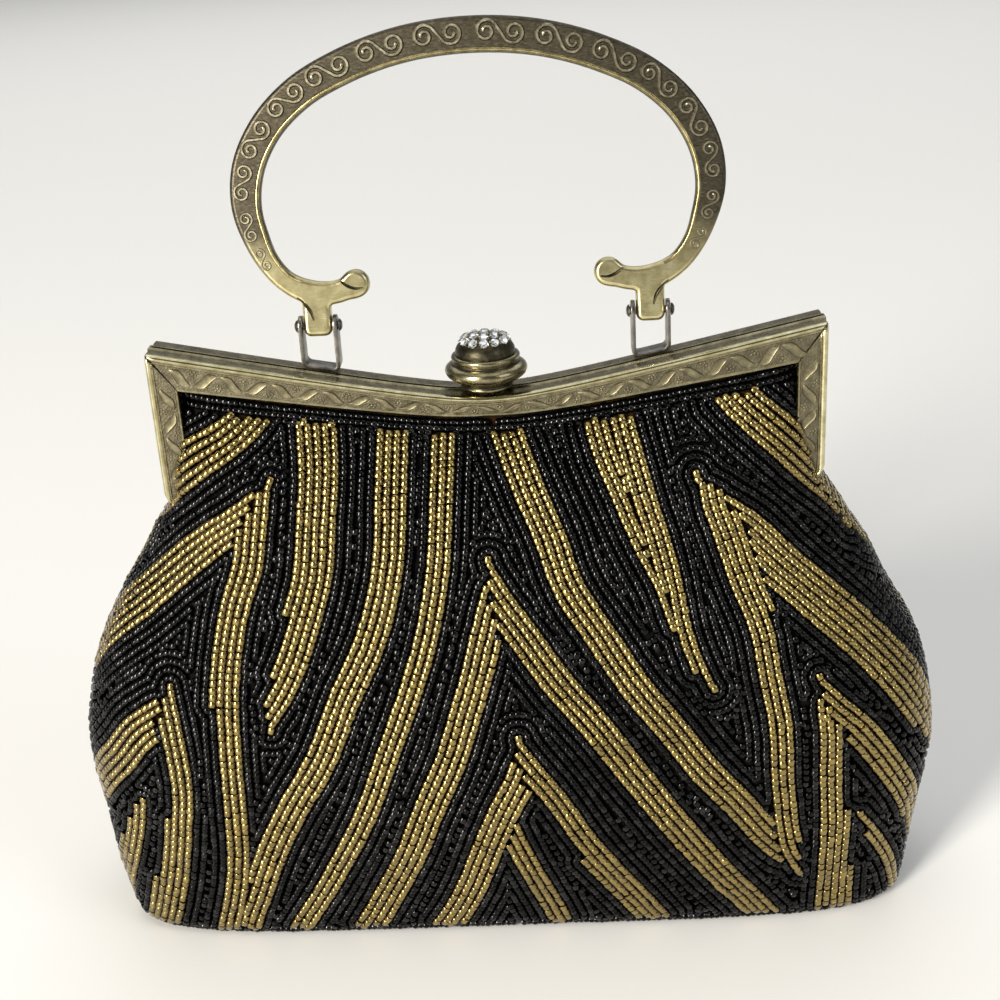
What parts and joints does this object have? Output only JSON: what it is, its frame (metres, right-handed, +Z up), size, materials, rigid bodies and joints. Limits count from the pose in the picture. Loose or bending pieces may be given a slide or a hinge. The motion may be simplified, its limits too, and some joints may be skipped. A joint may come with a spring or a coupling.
{
  "type": "beaded evening bag",
  "caption": "Small evening bag of striped seed beadwork on a hinged brass purse frame, with a scrolled C-shaped handle and a push knob set with cut stones.",
  "frame": {"origin": "middle of the base on the surface that the bag stands on", "axes": "+Z up, +Y towards the back, +X to the right as seen from the front"},
  "size_m": [0.2428, 0.0764, 0.2486],
  "materials": {
    "beaded_cloth": "cloth covered with glossy black and gold seed beads",
    "antique_brass": "antiqued brass, brown in the recesses and worn bright on the edges",
    "dark_brass": "dark patinated brass",
    "steel_strip": "plain steel strip with a grey tarnish",
    "crystal": "clear cut glass with a silvered back"
  },
  "bodies": {
    "bag": {"bag_body": "beaded_cloth", "frame_front": "antique_brass", "frame_back": "antique_brass", "hinge_rivet_left": "dark_brass", "hinge_rivet_right": "dark_brass", "link_left": "steel_strip", "link_right": "steel_strip", "pin_left": "steel_strip", "pin_right": "steel_strip"},
    "handle": {"handle": "antique_brass"},
    "clasp": {"knob_base": "antique_brass", "knob_dome": "dark_brass", "stone_01": "crystal", "stone_02": "crystal", "stone_03": "crystal", "stone_04": "crystal", "stone_05": "crystal", "stone_06": "crystal", "stone_07": "crystal", "stone_08": "crystal", "stone_09": "crystal", "stone_10": "crystal", "stone_11": "crystal", "stone_12": "crystal", "stone_13": "crystal", "stone_14": "crystal", "stone_15": "crystal", "stone_16": "crystal", "stone_17": "crystal", "stone_18": "crystal", "stone_19": "crystal"}
  },
  "joints": [
    {"name": "handle_swing", "type": "hinge", "parent": "bag", "child": "handle", "pos_m": [0, 0.0037, 0.1723], "axis": [1, 0, 0], "range_deg": [-125, 115]},
    {"name": "clasp_tilt", "type": "hinge", "parent": "bag", "child": "clasp", "pos_m": [0, 0, 0.1535], "axis": [1, 0, 0], "range_deg": [-6, 6], "stiffness_Nm_per_rad": 0.1}
  ]
}
